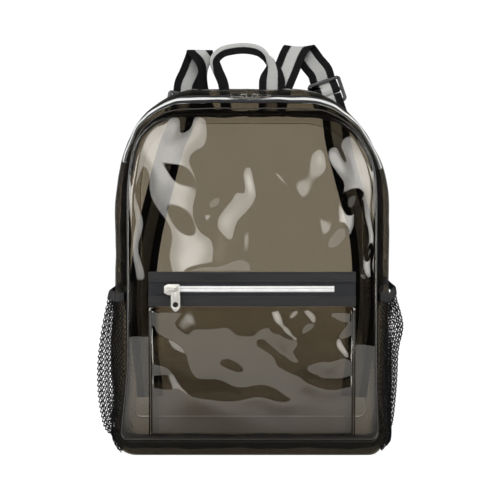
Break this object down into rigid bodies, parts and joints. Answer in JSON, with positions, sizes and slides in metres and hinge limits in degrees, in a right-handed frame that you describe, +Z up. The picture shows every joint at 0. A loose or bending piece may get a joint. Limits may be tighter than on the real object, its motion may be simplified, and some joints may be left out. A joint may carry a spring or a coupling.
{
  "type": "clear backpack",
  "caption": "Zipped backpack of smoke-tinted clear PVC with a front zip pocket, net side pockets, a webbing handle and adjustable webbing shoulder straps.",
  "frame": {"origin": "middle of the whole object's footprint on the surface that it stands on", "axes": "+Z up, the front with the pocket faces -Y, the shoulder straps are on the +Y side, +X to the right seen from the front"},
  "size_m": [0.3578, 0.211, 0.4781],
  "materials": {
    "smoke_pvc": "smoke-tinted clear soft PVC sheet, very glossy, gently wavy",
    "black_cloth": "black ribbed tape, matte",
    "striped_webbing": "woven webbing with a light grey stripe between two black ones",
    "black_net": "black polyester net, matte",
    "white_coil": "white zip coil, satin",
    "silver_metal": "bright plated zinc",
    "black_plastic": "moulded black acetal, fine satin"
  },
  "bodies": {
    "bag": {"front_panel": "smoke_pvc", "back_panel": "smoke_pvc", "bottom_panel": "smoke_pvc", "side_panel_left": "smoke_pvc", "side_panel_right": "smoke_pvc", "top_strip_front": "smoke_pvc", "top_strip_back": "smoke_pvc", "pocket_panel": "smoke_pvc", "pocket_hem_left": "smoke_pvc", "pocket_hem_right": "smoke_pvc", "main_zip_tape_front": "black_cloth", "main_zip_tape_back": "black_cloth", "main_zip_coil": "white_coil", "main_slider_left": "silver_metal", "main_slider_right": "silver_metal", "pocket_band_upper": "black_cloth", "pocket_band_lower": "black_cloth", "pocket_zip_tape": "black_cloth", "pocket_zip_coil": "white_coil", "pocket_slider": "silver_metal", "mesh_pocket_left": "black_net", "mesh_pocket_right": "black_net", "mesh_binding_left": "black_cloth", "mesh_binding_right": "black_cloth", "top_handle": "striped_webbing", "strap_upper_left": "striped_webbing", "strap_upper_right": "striped_webbing", "strap_lower_left": "striped_webbing", "strap_lower_right": "striped_webbing", "adjuster_left": "black_plastic", "adjuster_right": "black_plastic"},
    "pull_main_left": {"main_pull_left": "silver_metal"},
    "pull_main_right": {"main_pull_right": "silver_metal"},
    "pull_pocket": {"pocket_pull": "silver_metal"}
  },
  "joints": [
    {"name": "main_pull_left_flip", "type": "hinge", "parent": "bag", "child": "pull_main_left", "pos_m": [-0.00774, -0.0586, 0.40152], "axis": [0, 0.8398, 0.5429], "range_deg": [0, 110]},
    {"name": "main_pull_right_flip", "type": "hinge", "parent": "bag", "child": "pull_main_right", "pos_m": [0.00646, -0.0586, 0.40152], "axis": [0, -0.8398, -0.5429], "range_deg": [0, 110]},
    {"name": "pocket_pull_swing", "type": "hinge", "parent": "bag", "child": "pull_pocket", "pos_m": [-0.08084, -0.09542, 0.188], "axis": [0, -1, 0], "range_deg": [-40, 180]}
  ]
}
